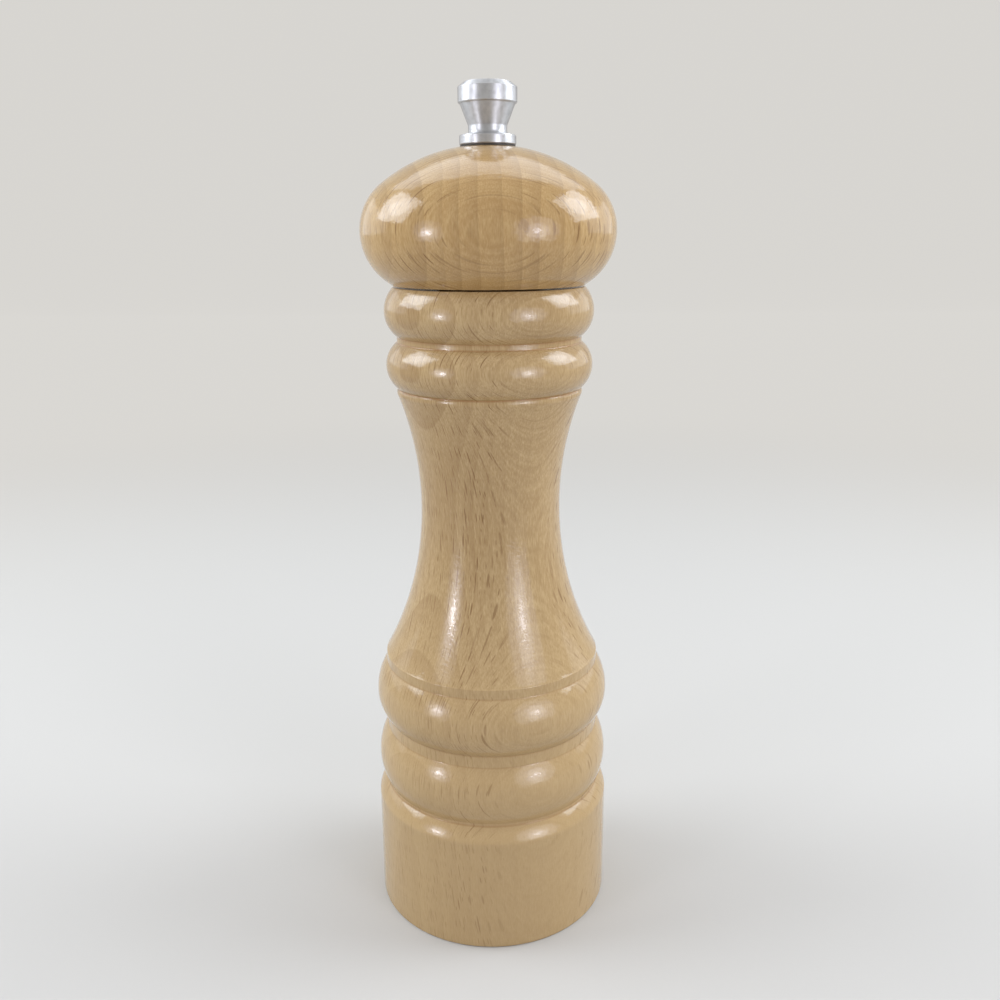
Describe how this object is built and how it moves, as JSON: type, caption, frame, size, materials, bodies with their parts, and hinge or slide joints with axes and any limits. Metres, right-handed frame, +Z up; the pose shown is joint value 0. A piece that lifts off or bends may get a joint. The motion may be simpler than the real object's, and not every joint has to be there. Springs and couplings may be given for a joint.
{
  "type": "pepper mill",
  "caption": "Hand mill: lathe-turned wooden body with beads and a waist, domed head that turns a square spindle, spool-shaped metal knob that sets the grind, steel cone grinder in the foot.",
  "frame": {"origin": "centre of the foot, on the surface that the mill stands on", "axes": "+Z up along the turning axis from the foot to the knob; X through the two screws of the bar under the foot"},
  "size_m": [0.0632, 0.0632, 0.2144],
  "materials": {
    "lacquered_beech": "clear gloss lacquer over natural beech",
    "turned_aluminium": "satin, fine lathe marks",
    "dark_nylon": "matte",
    "bright_steel": "drawn square rod",
    "zinc_plated_steel": "zinc plated pressing",
    "screw_steel": "bright zinc",
    "hardened_steel": "case-hardened, dark",
    "spring_steel": "hard drawn wire and strip"
  },
  "bodies": {
    "mill": {"mill_body": "lacquered_beech", "grinding_ring": "hardened_steel", "bottom_bar": "zinc_plated_steel", "bar_screws": "screw_steel", "spring_bracket": "zinc_plated_steel", "spring_seat": "zinc_plated_steel", "spring": "spring_steel"},
    "washer": {"knob_washer": "dark_nylon"},
    "head": {"head": "lacquered_beech", "drive_plate": "zinc_plated_steel", "drive_plate_screws": "screw_steel"},
    "knob": {"finial_knob": "turned_aluminium"},
    "thrust_washer": {"thrust_washer": "zinc_plated_steel"},
    "spindle": {"spindle": "bright_steel", "grinding_cone": "hardened_steel", "cone_washer": "zinc_plated_steel", "spindle_clip": "spring_steel"}
  },
  "joints": [
    {"name": "head_lift", "type": "slide", "parent": "mill", "child": "washer", "axis": [0, 0, 1], "range_m": [0, 0.06]},
    {"name": "head_turn", "type": "hinge", "parent": "washer", "child": "head", "pos_m": [0, 0, 0.168], "axis": [0, 0, 1], "continuous": true},
    {"name": "knob_turn", "type": "hinge", "parent": "head", "child": "knob", "pos_m": [0, 0, 0.2], "axis": [0, 0, 1], "range_deg": [0, 540]},
    {"name": "spindle_drop", "type": "slide", "parent": "mill", "child": "thrust_washer", "axis": [0, 0, -1], "range_m": [0, 0.0012], "deforming": ["spring"]},
    {"name": "spindle_turn", "type": "hinge", "parent": "thrust_washer", "child": "spindle", "pos_m": [0, 0, 0.0199], "axis": [0, 0, 1], "continuous": true}
  ],
  "couplings": [
    {"joint": "knob_turn", "follows": "spindle_drop", "rad_per_m": 7854},
    {"joint": "spindle_turn", "follows": "head_turn", "ratio": 1}
  ]
}
